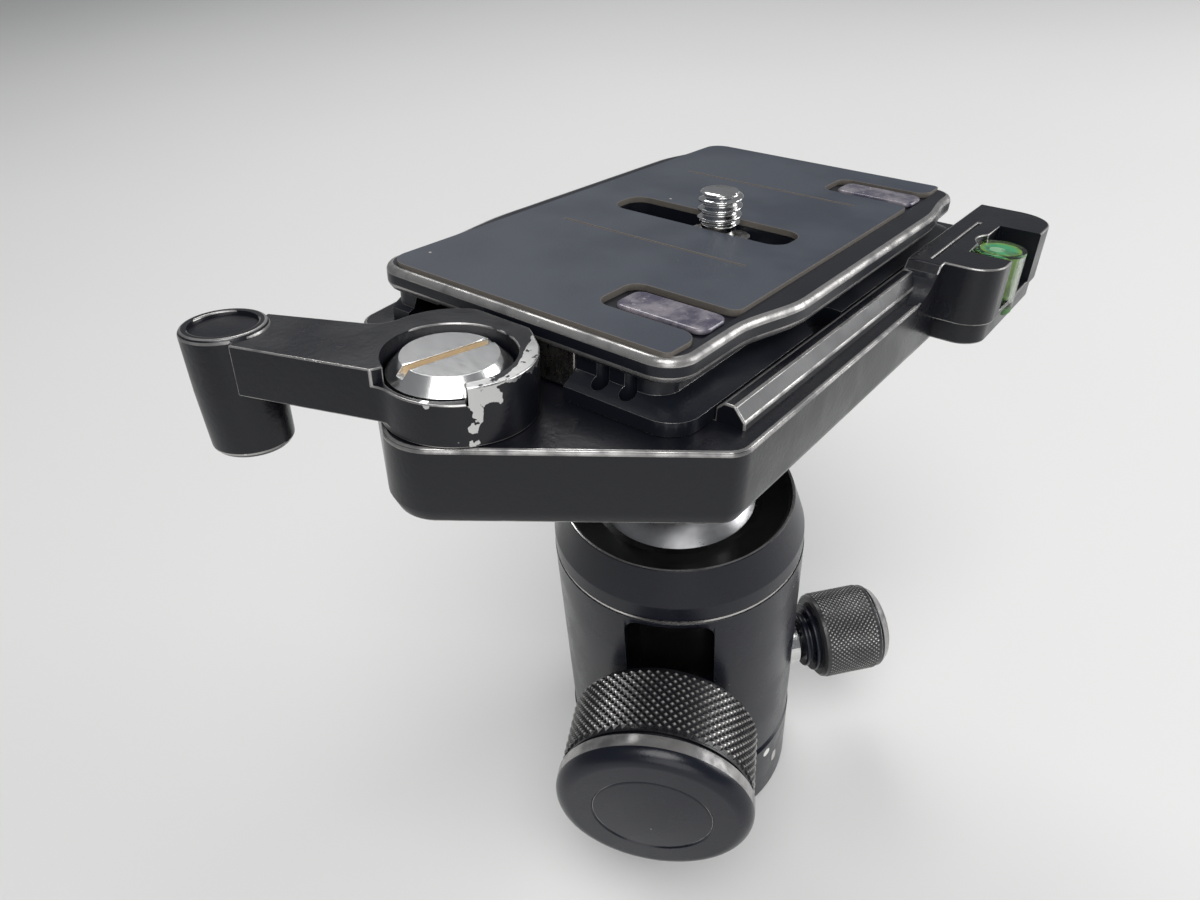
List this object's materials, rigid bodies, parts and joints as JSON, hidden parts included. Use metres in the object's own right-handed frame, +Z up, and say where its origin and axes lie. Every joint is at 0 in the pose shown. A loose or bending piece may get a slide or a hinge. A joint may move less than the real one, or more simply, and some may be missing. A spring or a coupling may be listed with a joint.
{
  "type": "tripod ball head",
  "caption": "Tripod ball head with lever quick-release platform, slotted camera plate with screw, round level, knurled ball-lock knob and small knurled pan knob.",
  "frame": {"origin": "centre of the pan base's bottom face, on the body axis, at the mouth of the tripod thread", "axes": "+Z up the body axis, +X along the platform towards the level end when pan and ball are at rest, +Y towards the fixed jaw; at rest the platform leans 8 degrees, level end low"},
  "size_m": [0.1197, 0.0661, 0.1264],
  "materials": {
    "black_casting": "satin black paint on cast metal",
    "black_anodised": "satin black anodised",
    "knurl_black": "black anodised diamond knurl",
    "black_plastic": "deep black acetal",
    "white_plastic": "off-white thrust washer",
    "ball_metal": "satin turned ball",
    "steel": "turned steel",
    "bright_steel": "bright nickel plate",
    "bright_ring": "bare turned edge",
    "nickel": "worn nickel plate",
    "brass": "turned brass",
    "pad_rubber": "blue-grey rubber",
    "insert_plastic": "smoky violet gel plastic",
    "white_paint": "white index paint",
    "grey_paint": "pale index paint",
    "green_seat": "dark green vial seat",
    "clear_green": "clear vial",
    "fluid": "green level fluid",
    "bubble": "air bubble"
  },
  "bodies": {
    "base": {"pan_base": "black_anodised", "tripod_bush": "brass", "pan_spindle": "steel", "retainer_washer": "steel", "retainer_screw": "steel", "pan_washer": "white_plastic", "index_dot": "white_paint", "index_tick": "grey_paint"},
    "housing": {"body_shell": "black_anodised", "collar_ring": "bright_ring", "collar": "black_anodised", "seat_ring": "black_plastic", "ball_liner": "black_plastic", "cup_spring": "steel", "main_knob_bush": "brass", "plunger_guide": "black_plastic", "pan_knob_bush": "bright_steel"},
    "cup": {"ball_cup": "steel"},
    "ball": {"ball": "ball_metal"},
    "head": {"stem": "steel", "platform": "black_casting", "platform_screw": "steel", "lever_screw": "bright_steel", "lever_washer": "brass", "level_seat": "green_seat", "level_vial": "clear_green", "level_fluid": "fluid", "level_bubble": "bubble"},
    "lever": {"lock_lever": "black_casting"},
    "jaw": {"locking_jaw": "nickel"},
    "plate": {"camera_plate": "black_anodised", "plate_pad": "pad_rubber", "grip_insert_near": "insert_plastic", "grip_insert_far": "insert_plastic"},
    "carriage": {"screw_carriage": "steel"},
    "camera_screw": {"camera_screw": "bright_steel"},
    "main_knob": {"main_knob_grip": "knurl_black", "main_knob_cap": "black_anodised", "main_knob_shaft": "steel"},
    "plunger": {"lock_plunger": "steel"},
    "pan_knob": {"pan_knob_collar": "black_anodised", "pan_knob_grip": "knurl_black", "pan_knob_cap": "black_anodised", "pan_knob_shaft": "steel"},
    "brake_shoe": {"pan_brake_shoe": "brass"}
  },
  "joints": [
    {"name": "pan", "type": "hinge", "parent": "base", "child": "housing", "pos_m": [0, 0, 0.03], "axis": [0, 0, 1], "continuous": true},
    {"name": "ball_azimuth", "type": "hinge", "parent": "housing", "child": "cup", "pos_m": [0, 0, 0.0616], "axis": [0, 0, 1], "continuous": true},
    {"name": "ball_tilt", "type": "hinge", "parent": "cup", "child": "ball", "pos_m": [0, 0, 0.0616], "axis": [0, 1, 0], "range_deg": [-36, 20]},
    {"name": "ball_spin", "type": "hinge", "parent": "ball", "child": "head", "pos_m": [0, 0, 0.0616], "axis": [0.1392, 0, 0.9903], "continuous": true},
    {"name": "lever_swing", "type": "hinge", "parent": "head", "child": "lever", "pos_m": [-0.04422, 0, 0.11699], "axis": [0.1392, 0, 0.9903], "range_deg": [0, 70]},
    {"name": "jaw_slide", "type": "slide", "parent": "head", "child": "jaw", "axis": [0, 1, 0], "range_m": [0, 0.0022]},
    {"name": "plate_slide", "type": "slide", "parent": "head", "child": "plate", "axis": [0.9903, 0, -0.1392], "range_m": [0, 0.06]},
    {"name": "screw_shift", "type": "slide", "parent": "plate", "child": "carriage", "axis": [0, 1, 0], "range_m": [-0.0065, 0.0115]},
    {"name": "screw_turn", "type": "hinge", "parent": "carriage", "child": "camera_screw", "pos_m": [0.00856, -0.0019, 0.11821], "axis": [0.1392, 0, 0.9903], "continuous": true},
    {"name": "main_knob_turn", "type": "hinge", "parent": "housing", "child": "main_knob", "pos_m": [-0.02678, -0.01353, 0.0374], "axis": [-0.8926, -0.4509, 0], "range_deg": [-180, 180]},
    {"name": "plunger_slide", "type": "slide", "parent": "housing", "child": "plunger", "axis": [0.8926, 0.4509, 0], "range_m": [-0.00051, 0.00051]},
    {"name": "pan_knob_turn", "type": "hinge", "parent": "housing", "child": "pan_knob", "pos_m": [0.02229, -0.02007, 0.0252], "axis": [0.7431, -0.6691, 0], "range_deg": [-100, 100]},
    {"name": "brake_shoe_slide", "type": "slide", "parent": "housing", "child": "brake_shoe", "axis": [-0.7431, 0.6691, 0], "range_m": [-0.0002, 0.0002]}
  ],
  "couplings": [
    {"joint": "jaw_slide", "follows": "lever_swing", "m_per_rad": 0.0018},
    {"joint": "plunger_slide", "follows": "main_knob_turn", "m_per_rad": -0.00015915},
    {"joint": "brake_shoe_slide", "follows": "pan_knob_turn", "m_per_rad": -0.00011141}
  ]
}
